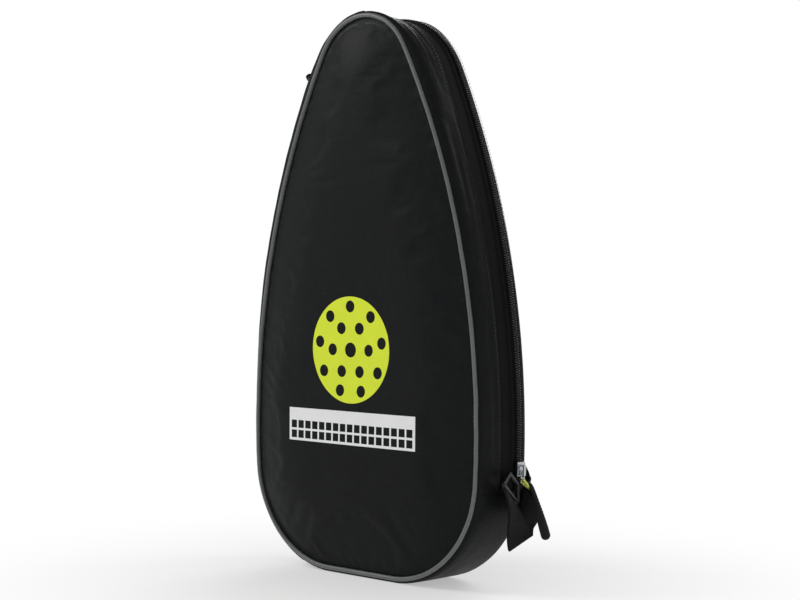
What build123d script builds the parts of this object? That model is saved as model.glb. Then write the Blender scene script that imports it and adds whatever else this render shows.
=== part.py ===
from build123d import *
from math import asin, atan2, cos, degrees, pi, radians, sin, sqrt
import os

# A zipped, teardrop shaped paddle case with a diagonal shoulder strap.
# Millimetres. X right, Z up, the front faces -Y, origin at the centre of the flat base.

# ---- driving dimensions -------------------------------------------------
CASE_WIDTH = 248.0  # between the piping lines, at the widest height
CASE_HEIGHT = 450.0  # piping line, base to top
DEPTH = 54.0  # front piping to back piping
CROWN = 12.0  # how far the padded front panel swells past its piping
WIDEST_Z = 116.6  # height of the widest point above the piping's lowest line
TOP_RADIUS = 52.0
CORNER_RADIUS = 87.0

PIPING_RADIUS = 1.8
EDGE_GAP = 2.4  # panel and gusset edges stand this far from the piping's centre
FABRIC = 1.2
LIFT = EDGE_GAP + FABRIC  # the gusset's underside is the floor
GUSSET_SWELL = 2.9  # extra width of the gusset where the zip runs
ZIP_TOP_RADIUS = 74.0  # the gusset stands fuller round the top than the piping
FOAM = 4.0
LINING = 0.8

ZIP_BEHIND_FRONT = 42.0  # zip centre line behind the front piping
FRONT_STRIP = 21.0  # depth of the sewn fabric strip in front of the zip tape
REAR_TAPE = 5.5
TAPE = 0.8
COIL_WIDTH = 2.5
COIL_GAP = 0.4  # half the gap the slider's wedge runs in
COIL_PROUD = 2.0

SEAM_Z = 79.0  # cross seam where the zipped strip meets the base strip
HINGE_Z = 103.0  # line the front folds down on when the zip is open
SLIDER_Z = 95.0  # slider at rest, at the closed end of the zip
CUT = 0.05  # half the gap between pieces that meet at a cut

STRAP_WIDTH = 25.0
WEBBING = 1.8
WIRE_RADIUS = 1.5

FRONT_Y = -DEPTH / 2
BACK_Y = DEPTH / 2
ZIP_Y = FRONT_Y + ZIP_BEHIND_FRONT
STRIP_Y = FRONT_Y + FRONT_STRIP
REAR_Y = ZIP_Y + REAR_TAPE
FACE_Y = FRONT_Y - CROWN


# ---- the teardrop outline -----------------------------------------------
class Teardrop:
    """Flat base, corner arcs, long side arcs and a top arc, all tangent."""

    def __init__(self, half_width, top, bottom, top_radius, corner_radius):
        self.half_width = half_width
        self.top = top
        self.bottom = bottom
        self.top_radius = top_radius
        self.corner_radius = corner_radius
        rise = top - top_radius - WIDEST_Z
        spare = half_width - top_radius
        self.side_radius = (half_width**2 + rise**2 - top_radius**2) / (2 * spare)
        self.side_x = half_width - self.side_radius
        reach = self.side_radius - corner_radius
        drop = bottom + corner_radius - WIDEST_Z
        self.corner_x = self.side_x + sqrt(reach**2 - drop**2)
        self.low_angle = atan2(drop, self.corner_x - self.side_x)
        self.high_angle = atan2(rise, -self.side_x)

    def grown(self, by):
        """The outline a constant distance outside this one."""
        return Teardrop(
            self.half_width + by,
            self.top + by,
            self.bottom - by,
            self.top_radius + by,
            self.corner_radius + by,
        )

    def on_side(self, angle):
        x = self.side_x + self.side_radius * cos(angle)
        return x, WIDEST_Z + self.side_radius * sin(angle)

    def face(self):
        low = self.on_side(self.low_angle)
        middle = self.on_side((self.low_angle + self.high_angle) / 2)
        high = self.on_side(self.high_angle)
        turn = (self.low_angle - pi / 2) / 2
        corner = (
            self.corner_x + self.corner_radius * cos(turn),
            self.bottom + self.corner_radius + self.corner_radius * sin(turn),
        )

        def up(point, side=1):
            return (side * point[0], point[1] + LIFT)

        foot = (self.corner_x, self.bottom)
        edges = [Line(up(foot, -1), up(foot))]
        edges.append(ThreePointArc(up(foot), up(corner), up(low)))
        edges.append(ThreePointArc(up(low), up(middle), up(high)))
        edges.append(ThreePointArc(up(high), up((0, self.top)), up(high, -1)))
        edges.append(ThreePointArc(up(high, -1), up(middle, -1), up(low, -1)))
        edges.append(ThreePointArc(up(low, -1), up(corner, -1), up(foot, -1)))
        return make_face(edges)


PIPING_LINE = Teardrop(CASE_WIDTH / 2, CASE_HEIGHT, 0, TOP_RADIUS, CORNER_RADIUS)
EDGE_LINE = PIPING_LINE.grown(EDGE_GAP + FABRIC)
ZIP_LINE = Teardrop(
    EDGE_LINE.half_width + GUSSET_SWELL,
    CASE_HEIGHT,
    EDGE_LINE.bottom,
    ZIP_TOP_RADIUS,
    EDGE_LINE.corner_radius + 1.6,
)
SIDE_CENTRE = Vector(ZIP_LINE.side_x, 0, WIDEST_Z + LIFT)


# ---- small helpers ------------------------------------------------------
def at_y(y):
    """Upright plane facing the front, at depth y: local x is X, local y is Z."""
    return Plane.XZ.offset(-y)


def slab(face, y0, y1):
    return extrude(at_y(y1) * face, amount=y1 - y0)


def stack(sections):
    """Solid through outlines at given depths."""
    return loft([at_y(y) * outline.face() for y, outline in sections], ruled=True)


def band(outline, inner, outer, y0, y1):
    """Strip of constant depth running round an outline, between two offsets."""
    solid = slab(outline.grown(outer).face(), y0, y1)
    return solid - slab(outline.grown(inner).face(), y0 - 1, y1 + 1)


def sewn_strip(sections):
    """Fabric strip that follows several outlines, one fabric thickness deep."""
    inner = [(y, outline.grown(-FABRIC)) for y, outline in sections]
    return stack(sections) - stack(inner)


def between(shape, low, high):
    """The part of a shape between two heights."""
    tall = Box(900, 400, high - low, align=(Align.CENTER, Align.CENTER, Align.MIN))
    return shape & (Pos(0, 0, low) * tall)


def above(shape, z):
    return between(shape, z + CUT, 700)


def below(shape, z):
    return between(shape, -20, z - CUT)


def one(shape):
    """A single solid when there is one, else the group."""
    solids = shape.solids()
    return solids[0] if len(solids) == 1 else Compound(children=list(solids))


def save(**nodes):
    for name, shape in nodes.items():
        export_step(one(shape), f"parts/{name}.step")


# ---- panels -------------------------------------------------------------
def hat(setback):
    """Solid under the crowned front face, moved back by a setback."""
    steps = [0, 12, 26, 45]
    sections = []
    for inset in steps:
        rise = CROWN * sin(pi / 2 * inset / steps[-1])
        sections.append((FRONT_Y - rise, PIPING_LINE.grown(-EDGE_GAP - inset)))
    solid = Pos(0, setback, 0) * stack(sections)
    front = Pos(0, FRONT_Y, 225) * Box(400, 60, 600, align=(Align.CENTER, Align.MAX, Align.CENTER))
    return solid & front


def front_layers():
    shell = [hat(0), hat(FABRIC), hat(FABRIC + FOAM), hat(FABRIC + FOAM + LINING)]
    return [outer - inner for outer, inner in zip(shell, shell[1:])]


def back_layer(inset, start, thick):
    face = PIPING_LINE.grown(-EDGE_GAP - inset).face()
    return slab(face, BACK_Y + start - thick, BACK_Y + start)


def piping(y):
    """Round cord all round the piping line."""
    path = (at_y(y) * PIPING_LINE.face()).wire()
    start = path @ 0
    section = Plane(origin=start, z_dir=path % 0) * Circle(PIPING_RADIUS)
    return sweep(section, path=path)


# ---- prints on the front ------------------------------------------------
PRINT = 0.3


def printed(face):
    return slab(face, FACE_Y - PRINT, FACE_Y)


def print_ball():
    """A perforated ball."""
    ball = Circle(43) - Circle(6)
    for count, reach, turn in ((6, 20, 0), (9, 35, 10)):
        for n in range(count):
            angle = radians(360 / count * n + turn)
            ball -= Pos(reach * cos(angle), reach * sin(angle)) * Circle(4.8)
    return printed(Pos(0, 184) * ball)


def print_net():
    """A court net: top tape with square mesh below."""
    net = Rectangle(143, 27)
    columns, rows, pitch = 17, 2, 8.2
    for column in range(columns):
        for row in range(rows):
            x = (column - (columns - 1) / 2) * pitch
            net -= Pos(x, row * pitch - 8.2) * Rectangle(6.4, 6.4)
    return printed(Pos(0, 121) * net)


# ---- zip ----------------------------------------------------------------
def sector(inner, outer, angle0, angle1, y0, y1):
    """Block curved about the side arc's centre; radii are offsets from the zip line."""
    r0 = ZIP_LINE.side_radius + inner
    r1 = ZIP_LINE.side_radius + outer
    middle = (angle0 + angle1) / 2

    def at(radius, angle):
        return (
            SIDE_CENTRE.X + radius * cos(radians(angle)),
            SIDE_CENTRE.Z + radius * sin(radians(angle)),
        )

    edges = [Line(at(r0, angle0), at(r1, angle0))]
    edges.append(ThreePointArc(at(r1, angle0), at(r1, middle), at(r1, angle1)))
    edges.append(Line(at(r1, angle1), at(r0, angle1)))
    edges.append(ThreePointArc(at(r0, angle1), at(r0, middle), at(r0, angle0)))
    return slab(make_face(edges), y0, y1)


SLIDER_ANGLE = degrees(asin((SLIDER_Z - SIDE_CENTRE.Z) / ZIP_LINE.side_radius))
DEG_PER_MM = degrees(1 / ZIP_LINE.side_radius)
TOP_PLATE = (2.2, 3.6)
SLIDER_HALF = 5.5
PIN_HEIGHT = 4.8
PIN_SHIFT = -1.5
EYE_SHIFT = -8.0


def on_slider(inner, outer, along0, along1, half, middle=0.0):
    """Block on the slider: offsets outward, distances along the zip, half width."""
    return sector(
        inner,
        outer,
        SLIDER_ANGLE + along0 * DEG_PER_MM,
        SLIDER_ANGLE + along1 * DEG_PER_MM,
        ZIP_Y + middle - half,
        ZIP_Y + middle + half,
    )


def slider_point(height, along):
    angle = radians(SLIDER_ANGLE + along * DEG_PER_MM)
    radius = ZIP_LINE.side_radius + height
    return Vector(SIDE_CENTRE.X + radius * cos(angle), ZIP_Y, SIDE_CENTRE.Z + radius * sin(angle))


SLIDER_OUT = Vector(cos(radians(SLIDER_ANGLE)), 0, sin(radians(SLIDER_ANGLE)))
PIN = slider_point(PIN_HEIGHT, PIN_SHIFT)
EYE = slider_point(PIN_HEIGHT, EYE_SHIFT)


def slider_body():
    """Top and bottom plates joined by the wedge that parts the coils."""
    body = on_slider(*TOP_PLATE, -SLIDER_HALF, SLIDER_HALF, 4.6)
    body += on_slider(-2.4, -1.2, -SLIDER_HALF, SLIDER_HALF, 4.6)
    body += on_slider(-1.3, 2.3, 1.0, SLIDER_HALF, 0.25)
    for side in (-1, 1):
        body += on_slider(0.05, 2.3, -SLIDER_HALF, SLIDER_HALF, 0.75, side * 3.85)
    return body


def slider_crown():
    """Bridge over the top plate that the pull tab's pin sits under."""
    crown = on_slider(6.0, 7.2, -4.6, 3.2, 1.3)
    for start in (-4.6, 2.0):
        crown += on_slider(TOP_PLATE[1], 6.1, start, start + 1.2, 1.3)
    return crown


def pull_tab():
    """Pin, two arms and a plate with an eye."""
    tab = Pos(*PIN) * Rot(90, 0, 0) * Cylinder(0.8, 4.6)
    for side in (-1, 1):
        tab += on_slider(PIN_HEIGHT - 0.6, PIN_HEIGHT + 0.6, -6.5, PIN_SHIFT, 0.4, side * 1.9)
    tab += on_slider(PIN_HEIGHT - 0.6, PIN_HEIGHT + 0.6, -10.2, -6.2, 2.3)
    eye = Plane(origin=EYE, z_dir=SLIDER_OUT) * Cylinder(1.3, 4)
    return tab - eye


GRIP_TOP = Vector(137.2, 24.5, 77.5)
GRIP_TIP = Vector(137.8, 39.5, 44.0)


def rod(start, end, radius):
    way = end - start
    return Plane(origin=start, z_dir=way.normalized()) * Cylinder(
        radius, way.length, align=(Align.CENTER, Align.CENTER, Align.MIN)
    )


def pull_cord():
    """Cord through the eye, both legs running down into the grip."""
    radius = 0.9
    reach = 1.7
    near = EYE - SLIDER_OUT * reach
    far = EYE + SLIDER_OUT * reach
    knee = near + Vector(0, 3.6, -3.6)
    path = [GRIP_TOP, far, near, knee, GRIP_TOP]
    cord = Pos(*GRIP_TOP) * Sphere(radius)
    for start, end in zip(path, path[1:]):
        cord += rod(start, end, radius)
        cord += Pos(*end) * Sphere(radius)
    return cord


def pull_grip():
    """Moulded grip, wider than it is thick, round at the tip."""
    way = (GRIP_TIP - GRIP_TOP).normalized()
    across = Vector(0, way.Z, -way.Y).normalized()
    sections = []
    start = GRIP_TOP + way * 0.5
    length = (GRIP_TIP - start).length
    for part, wide, thick in ((0, 4.4, 4.2), (0.25, 6.0, 4.6), (0.6, 7.6, 5.0), (1, 8.4, 5.0)):
        plane = Plane(origin=start + way * (length * part), x_dir=across, z_dir=way)
        sections.append(plane * RectangleRounded(wide, thick, 2.0))
    grip = loft(sections, ruled=True)
    tip = Plane(origin=GRIP_TIP, x_dir=across, z_dir=Vector(1, 0, 0)) * Cylinder(4.2, 4.4)
    return grip + tip - pull_cord()


# ---- webbing and rings --------------------------------------------------
def unit(x, y, z):
    return Vector(x, y, z).normalized()


def eased(values, n, s):
    """Smooth value a fraction s of the way from values[n] to the next."""
    last = len(values) - 1
    before, start, end, after = (values[min(max(k, 0), last)] for k in (n - 1, n, n + 1, n + 2))
    into = (end - before) * 0.5
    out = (after - start) * 0.5
    square = (end - start) * 3 - into * 2 - out
    cube = (start - end) * 2 + into + out
    return start + into * s + square * s**2 + cube * s**3


def webbing(sections, width=STRAP_WIDTH, steps=4):
    """Flat webbing through (centre, width direction) pairs, eased between them."""
    centres = [Vector(*centre) for centre, wide in sections]
    widths = [Vector(*wide).normalized() for centre, wide in sections]
    points = []
    for n in range(len(sections) - 1):
        for k in range(steps):
            points.append((eased(centres, n, k / steps), eased(widths, n, k / steps)))
    points.append((centres[-1], widths[-1]))
    faces = []
    for k, (centre, wide) in enumerate(points):
        ahead = points[min(k + 1, len(points) - 1)][0]
        behind = points[max(k - 1, 0)][0]
        wide = wide.normalized()
        way = ahead - behind
        way = (way - wide * way.dot(wide)).normalized()
        faces.append(Plane(origin=centre, x_dir=wide, z_dir=way) * Rectangle(width, WEBBING))
    return loft(faces, ruled=True)


def loop(centre, along, width):
    """Webbing turned round a wire bar, as a short tube."""
    plane = Plane(origin=centre, z_dir=along)
    bore = WIRE_RADIUS + 0.4
    return plane * Cylinder(bore + WEBBING, width) - plane * Cylinder(bore, width + 2)


LOOP_MIDDLE = WIRE_RADIUS + 0.4 + WEBBING / 2


def ring(strap_bar, along, to_tab, strap_half, tab_half, rise):
    """Wire ring: a wide bar for the strap, a bar for the tab, and two sides."""
    tab_bar = strap_bar + to_tab * rise
    corners = [
        strap_bar - along * strap_half,
        strap_bar + along * strap_half,
        tab_bar + along * tab_half,
        tab_bar - along * tab_half,
    ]
    wire = None
    for n, corner in enumerate(corners):
        piece = rod(corner, corners[(n + 1) % 4], WIRE_RADIUS) + Pos(*corner) * Sphere(WIRE_RADIUS)
        wire = piece if wire is None else wire + piece
    return wire


LOWER_BAR = Vector(138.4, -3.5, 78.0)
LOWER_ALONG = unit(-0.268, 0.823, -0.501)
LOWER_TO_TAB = (Vector(0, 0, 1) - LOWER_ALONG * LOWER_ALONG.Z).normalized()
LOWER_RISE = 12.0
LOWER_TAB_BAR = LOWER_BAR + LOWER_TO_TAB * LOWER_RISE
LOWER_TAB_WIDTH = 13.0

UPPER_BAR = Vector(-91.0, 2.0, 412.0)
UPPER_ALONG = unit(0.69, -0.72, 0)
UPPER_TO_TAB = unit(0.72, 0.69, 0)
UPPER_RISE = 11.0
UPPER_TAB_BAR = UPPER_BAR + UPPER_TO_TAB * UPPER_RISE

SWING_LOW = Vector(112.0, 37.0, 84.0)
SWING_HIGH = Vector(-62.0, 37.0, 354.0)
RUN = (SWING_HIGH - SWING_LOW).normalized()
RUN_WIDE = Vector(-RUN.Z, 0, RUN.X) * -1
SLACK = 10.0


def lower_ring():
    return ring(LOWER_BAR, LOWER_ALONG, LOWER_TO_TAB, 16.8, 9.2, LOWER_RISE)


def upper_ring():
    return ring(UPPER_BAR, UPPER_ALONG, UPPER_TO_TAB, 14.5, 14.5, UPPER_RISE)


def lower_strap_tab():
    start = LOWER_TAB_BAR + LOWER_TO_TAB * LOOP_MIDDLE
    tab = webbing(
        [
            (tuple(start - unit(1, 0, 0) * 0.2), tuple(LOWER_ALONG)),
            ((132.4, 1.6, 87.5), (-0.1, 0.93, -0.35)),
            ((130.6, 1.0, 80.5), (0, 1, 0)),
        ],
        LOWER_TAB_WIDTH,
    )
    return tab + loop(LOWER_TAB_BAR, LOWER_ALONG, LOWER_TAB_WIDTH)


def upper_strap_tab():
    start = UPPER_TAB_BAR + Vector(0, 0, 1) * LOOP_MIDDLE
    tab = webbing(
        [
            (tuple(start), tuple(UPPER_ALONG)),
            (tuple(start + UPPER_TO_TAB * 4), tuple(UPPER_ALONG)),
            ((-77.5, 16.2, 411.8), (0.7, -0.45, 0.55)),
            ((-71.3, 22.5, 405.8), (0.408, 0, 0.913)),
        ],
        22.0,
    )
    return tab + loop(UPPER_TAB_BAR, UPPER_ALONG, 22.0)


def strap_lower_end():
    """From the lower ring down into the slack loop and round to the back."""
    outward = unit(1, 0.3, 0)
    strap = webbing(
        [
            (tuple(LOWER_BAR + outward * LOOP_MIDDLE), tuple(LOWER_ALONG)),
            ((141.0, 4.0, 62.0), (-0.05, 0.97, 0.0)),
            ((143.5, 3.5, 47.0), (0.2, 0.9, 0.35)),
            ((142.0, 4.5, 39.4), (0.25, 0.86, 0.44)),
            ((139.0, 6.5, 43.0), (0.25, 0.86, 0.44)),
            ((137.8, 11.5, 58.0), (0.2, 0.9, 0.35)),
            ((131.0, 19.5, 67.0), (-0.05, 0.5, 0.86)),
            ((128.9, 28.5, 69.0), (0, 0.1, 0.99)),
            ((122.5, 36.0, 73.5), (0.25, 0, 0.97)),
            ((116.5, 37.0, 77.5), (0.6, 0, 0.8)),
            (tuple(SWING_LOW), tuple(RUN_WIDE)),
        ]
    )
    return strap + loop(LOWER_BAR, LOWER_ALONG, STRAP_WIDTH)


def strap_upper_end():
    """From the back run over the edge of the case to the upper ring."""
    start = UPPER_BAR - Vector(0, 0, 1) * LOOP_MIDDLE - UPPER_TO_TAB * 0.5
    strap = webbing(
        [
            (tuple(SWING_HIGH), tuple(RUN_WIDE)),
            ((-71.0, 37.0, 368.0), (0.84, 0, 0.54)),
            ((-83.0, 33.5, 384.0), (0.82, -0.25, 0.5)),
            ((-90.5, 19.0, 397.0), (0.75, -0.55, 0.3)),
            ((-92.5, 8.0, 404.0), (0.7, -0.7, 0.1)),
            (tuple(start), tuple(UPPER_ALONG)),
        ]
    )
    return strap + loop(UPPER_BAR, UPPER_ALONG, STRAP_WIDTH)


def shoulder_strap():
    """Slack run behind the back panel, bowed out between its two ends."""
    length = (SWING_HIGH - SWING_LOW).length
    stations = ((0, 0), (0.06, 0.12), (0.14, 0.8), (0.2, 1), (0.8, 1), (0.86, 0.8), (0.94, 0.12), (1, 0))
    sections = []
    for part, out in stations:
        centre = SWING_LOW + RUN * (length * part) + Vector(0, SLACK * out, 0)
        sections.append((tuple(centre), tuple(RUN_WIDE)))
    strap = webbing(sections)
    middle = (SWING_LOW + SWING_HIGH) * 0.5
    keep = Plane(origin=middle, x_dir=RUN_WIDE, z_dir=RUN) * Box(60, 90, length - 2 * CUT)
    return strap & keep


def strap_adjuster():
    """Three bar slide: rails beside the webbing, end bars outside, middle bar inside."""
    middle = SWING_LOW + (SWING_HIGH - SWING_LOW) * 0.5 + Vector(0, SLACK, 0)
    plane = Plane(origin=middle, x_dir=RUN_WIDE, z_dir=Vector(0, 1, 0))
    rails = None
    for side in (-1, 1):
        rail = plane * (Pos(side * (STRAP_WIDTH / 2 + 2.2), 0, 0) * Box(3.2, 24, 6.4))
        rails = rail if rails is None else rails + rail
        rails += plane * (Pos(0, side * 10.2, 2.3) * Box(STRAP_WIDTH + 6, 3.6, 1.8))
    return rails + plane * (Pos(0, 0, -2.3) * Box(STRAP_WIDTH + 6, 3.6, 1.8))


# ---- gusset and the whole case ------------------------------------------
def zip_end_tabs():
    """Folded fabric tabs over both ends of the zip."""
    tabs = band(ZIP_LINE, 0.05, 2.0, ZIP_Y - 5, ZIP_Y + 5)
    return between(tabs, SEAM_Z + CUT, SEAM_Z + 6)


def build():
    os.makedirs("parts", exist_ok=True)
    panel, foam, lining = front_layers()
    cord = piping(FRONT_Y)
    front_strip = sewn_strip([(FRONT_Y, EDGE_LINE), (STRIP_Y, ZIP_LINE)])
    base_strip = sewn_strip(
        [(FRONT_Y, EDGE_LINE), (STRIP_Y, ZIP_LINE), (REAR_Y, ZIP_LINE), (BACK_Y, EDGE_LINE)]
    )
    rear_strip = sewn_strip([(REAR_Y + CUT, ZIP_LINE), (BACK_Y, EDGE_LINE)])
    front_tape = band(ZIP_LINE, -TAPE - 0.2, -0.2, STRIP_Y + CUT, ZIP_Y - COIL_GAP)
    rear_tape = band(ZIP_LINE, -TAPE - 0.2, -0.2, ZIP_Y + COIL_GAP, REAR_Y)
    front_coil = band(ZIP_LINE, -0.15, COIL_PROUD, ZIP_Y - COIL_GAP - COIL_WIDTH, ZIP_Y - COIL_GAP)
    rear_coil = band(ZIP_LINE, -0.15, COIL_PROUD, ZIP_Y + COIL_GAP, ZIP_Y + COIL_GAP + COIL_WIDTH)
    save(
        front_panel=above(panel, HINGE_Z),
        front_foam=above(foam, HINGE_Z),
        front_lining=above(lining, HINGE_Z),
        front_piping=above(cord, HINGE_Z),
        front_gusset=above(front_strip, HINGE_Z),
        zip_tape_front=above(front_tape, HINGE_Z),
        zip_coil_front=above(front_coil, HINGE_Z),
        print_ball=print_ball(),
        print_net=print_net(),
    )
    save(
        front_panel_lower=below(panel, HINGE_Z),
        front_foam_lower=below(foam, HINGE_Z),
        front_lining_lower=below(lining, HINGE_Z),
        front_piping_lower=below(cord, HINGE_Z),
        front_gusset_lower=between(front_strip, SEAM_Z + CUT, HINGE_Z - CUT),
        zip_tape_lower=between(front_tape, SEAM_Z + CUT, HINGE_Z - CUT),
        zip_coil_lower=between(front_coil, SEAM_Z + 6 + CUT, HINGE_Z - CUT),
        zip_end_tabs=zip_end_tabs(),
    )
    save(
        back_panel=back_layer(0, FABRIC / 2, FABRIC),
        back_foam=back_layer(0.2, -FABRIC / 2, FOAM),
        back_lining=back_layer(0.4, -FABRIC / 2 - FOAM, LINING),
        back_piping=piping(BACK_Y),
        rear_gusset=above(rear_strip, SEAM_Z),
        bottom_gusset=below(base_strip, SEAM_Z),
        zip_tape_rear=above(rear_tape, SEAM_Z),
        zip_coil_rear=above(rear_coil, SEAM_Z + 6),
    )
    save(
        slider_body=slider_body(),
        slider_crown=slider_crown(),
        pull_tab=pull_tab(),
        pull_cord=pull_cord(),
        pull_grip=pull_grip(),
    )
    save(
        lower_strap_tab=lower_strap_tab(),
        upper_strap_tab=upper_strap_tab(),
        lower_ring=lower_ring(),
        upper_ring=upper_ring(),
        strap_lower_end=strap_lower_end(),
        strap_upper_end=strap_upper_end(),
        shoulder_strap=shoulder_strap(),
        strap_adjuster=strap_adjuster(),
    )


build()
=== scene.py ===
import math

import bmesh
import bpy
import numpy as np
from mathutils import Matrix, Vector, noise
from mathutils.bvhtree import BVHTree
from mathutils.geometry import delaunay_2d_cdt


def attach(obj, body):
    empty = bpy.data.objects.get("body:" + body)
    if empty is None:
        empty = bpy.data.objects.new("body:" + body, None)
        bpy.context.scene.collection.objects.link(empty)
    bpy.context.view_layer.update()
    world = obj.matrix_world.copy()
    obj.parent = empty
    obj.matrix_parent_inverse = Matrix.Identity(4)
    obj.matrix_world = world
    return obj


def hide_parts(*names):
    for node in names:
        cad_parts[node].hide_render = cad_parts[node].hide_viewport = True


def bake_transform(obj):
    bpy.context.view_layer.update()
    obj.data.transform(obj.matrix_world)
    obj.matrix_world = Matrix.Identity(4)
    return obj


# Looks of a zipped, padded paddle case. Shapes are worked out in millimetres
# in the shared frame: X right, Z up, the front faces -Y, origin under the base.

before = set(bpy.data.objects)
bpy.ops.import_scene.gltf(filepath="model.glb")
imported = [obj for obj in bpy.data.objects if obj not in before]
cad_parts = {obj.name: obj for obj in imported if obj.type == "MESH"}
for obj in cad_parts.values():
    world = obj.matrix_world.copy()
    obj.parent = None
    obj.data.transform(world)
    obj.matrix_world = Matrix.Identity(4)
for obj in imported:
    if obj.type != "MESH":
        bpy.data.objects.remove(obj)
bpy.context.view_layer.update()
MM = 0.001

# ---- dimensions shared with the CAD frame --------------------------------
DEPTH = 54.0
CROWN = 12.0
BACK_CROWN = 2.6
WIDEST_Z = 116.6
PIPING_RADIUS = 1.8
EDGE_GAP = 2.4
FABRIC = 1.2
LIFT = EDGE_GAP + FABRIC
FRONT_Y = -DEPTH / 2
BACK_Y = DEPTH / 2
ZIP_Y = FRONT_Y + 42.0
STRIP_Y = FRONT_Y + 21.0
REAR_Y = ZIP_Y + 5.5
SEAM_Z = 79.0
STRAP_WIDTH = 25.0
WEBBING = 1.8
LOWER_TAB_WIDTH = 13.0
UPPER_TAB_WIDTH = 22.0
WIRE_RADIUS = 1.5
X, Y, Z = Vector((1, 0, 0)), Vector((0, 1, 0)), Vector((0, 0, 1))


# ---- the teardrop outline ------------------------------------------------
class Teardrop:
    """Flat base, corner arcs, long side arcs and a top arc, all tangent."""

    def __init__(self, half_width, top, bottom, top_radius, corner_radius):
        self.size = (half_width, top, bottom, top_radius, corner_radius)
        rise = top - top_radius - WIDEST_Z
        spare = half_width - top_radius
        side = (half_width**2 + rise**2 - top_radius**2) / (2 * spare)
        side_x = half_width - side
        reach = side - corner_radius
        drop = bottom + corner_radius - WIDEST_Z
        corner_x = side_x + math.sqrt(reach**2 - drop**2)
        low = math.atan2(drop, corner_x - side_x)
        high = math.atan2(rise, -side_x)
        points, normals = [], []

        def arc(centre, radius, start, end, count):
            for angle in np.linspace(start, end, count, endpoint=False):
                away = (math.cos(angle), math.sin(angle))
                points.append((centre[0] + radius * away[0], centre[1] + radius * away[1]))
                normals.append(away)

        for x in np.linspace(0, corner_x, 14, endpoint=False):
            points.append((x, bottom))
            normals.append((0, -1))
        arc((corner_x, bottom + corner_radius), corner_radius, -math.pi / 2, low, 60)
        arc((side_x, WIDEST_Z), side, low, high, 160)
        arc((0, top - top_radius), top_radius, high, math.pi / 2, 42)
        right = list(zip(points, normals))
        left = [((-x, z), (-nx, nz)) for (x, z), (nx, nz) in right[:0:-1]]
        crest = [((0, top), (0, 1))]
        both = right + crest + left + [((0, bottom), (0, -1))]
        self.points = np.array([p for p, n in both], float) + (0, LIFT)
        self.normals = np.array([n for p, n in both], float)
        self.last = len(both) - 1

    def grown(self, by):
        half_width, top, bottom, top_radius, corner_radius = self.size
        return Teardrop(half_width + by, top + by, bottom - by, top_radius + by, corner_radius + by)


def blend_line(inner, outer, share):
    """Points and normals part way between two matching outlines."""
    points = inner.points * (1 - share) + outer.points * share
    normals = inner.normals * (1 - share) + outer.normals * share
    return points, normals / np.linalg.norm(normals, axis=1)[:, None]


PIPING_LINE = Teardrop(124.0, 450.0, 0.0, 52.0, 87.0)
EDGE_LINE = PIPING_LINE.grown(LIFT)
ZIP_LINE = Teardrop(130.5, 450.0, -3.6, 74.0, 92.2)
SAMPLES = np.arange(ZIP_LINE.last + 1)


def at(values, where):
    """Rows of an array at fractional sample numbers."""
    return np.stack([np.interp(where, SAMPLES, values[:, k]) for k in range(values.shape[1])], 1)


def sample_at_height(z, right):
    """Sample number where the zip outline reaches a height, up one side."""
    half = ZIP_LINE.last // 2
    heights = ZIP_LINE.points[:, 1]
    if right:
        return float(np.interp(z, heights[: half + 1], SAMPLES[: half + 1]))
    return float(np.interp(-z, -heights[half:], SAMPLES[half:]))


def run_along(points):
    """Distance run at each point of a line."""
    return np.concatenate([[0], np.cumsum(np.linalg.norm(np.diff(points, axis=0), axis=1))])


def evenly(start, end, pitch, line=ZIP_LINE):
    """Sample numbers spaced evenly along the outline."""
    fine = np.linspace(start, end, 4000)
    run = run_along(at(line.points, fine))
    count = max(2, int(round(run[-1] / pitch)))
    return np.interp(np.linspace(0, run[-1], count + 1), run, fine)


def ramp(value, low, high):
    """0 below low, 1 above high, smooth between."""
    t = np.clip((value - low) / (high - low), 0, 1)
    return t * t * (3 - 2 * t)


def noise_at(x, y, z):
    return noise.noise(Vector((x, y, z)))


def ripple(u, w, seed, kind):
    """Noise over a surface. kind is how fast it changes both ways, and its height."""
    along, across, height = kind
    return noise_at(u * along, w * across, seed) * height


# ---- materials -----------------------------------------------------------
def new_material(name):
    """A material with its node tree and its surface shader."""
    material = bpy.data.materials.new(name)
    material.use_nodes = True
    tree = material.node_tree
    shader = tree.nodes["Principled BSDF"]
    return material, tree, shader


def node(tree, kind, **settings):
    """New shader node; each setting goes to the input of that name, or to the node itself."""
    made = tree.nodes.new(kind)
    for key, value in settings.items():
        if key in made.inputs:
            made.inputs[key].default_value = value
        else:
            setattr(made, key, value)
    return made


def rest_coordinates(tree):
    """Coordinates stored on the mesh at rest, so patterns stay put when it bends."""
    return node(tree, "ShaderNodeAttribute", attribute_name="rest").outputs["Vector"]


def stretched_noise(tree, place, scale, stretch, detail=3.0):
    """Noise drawn out along one direction, like uneven threads."""
    mapping = node(tree, "ShaderNodeMapping")
    mapping.inputs["Scale"].default_value = stretch
    tree.links.new(place, mapping.inputs["Vector"])
    texture = node(tree, "ShaderNodeTexNoise", Scale=scale, Detail=detail, Roughness=0.65)
    tree.links.new(mapping.outputs["Vector"], texture.inputs["Vector"])
    return texture.outputs["Fac"]


def mean_of(tree, factors):
    """Weighted sum of node outputs."""
    total = None
    for source, weight in factors:
        step = node(tree, "ShaderNodeMath", operation="MULTIPLY_ADD")
        step.inputs[1].default_value = weight
        step.inputs[2].default_value = 0.0
        tree.links.new(source, step.inputs[0])
        if total is not None:
            tree.links.new(total, step.inputs[2])
        total = step.outputs[0]
    return total


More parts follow.
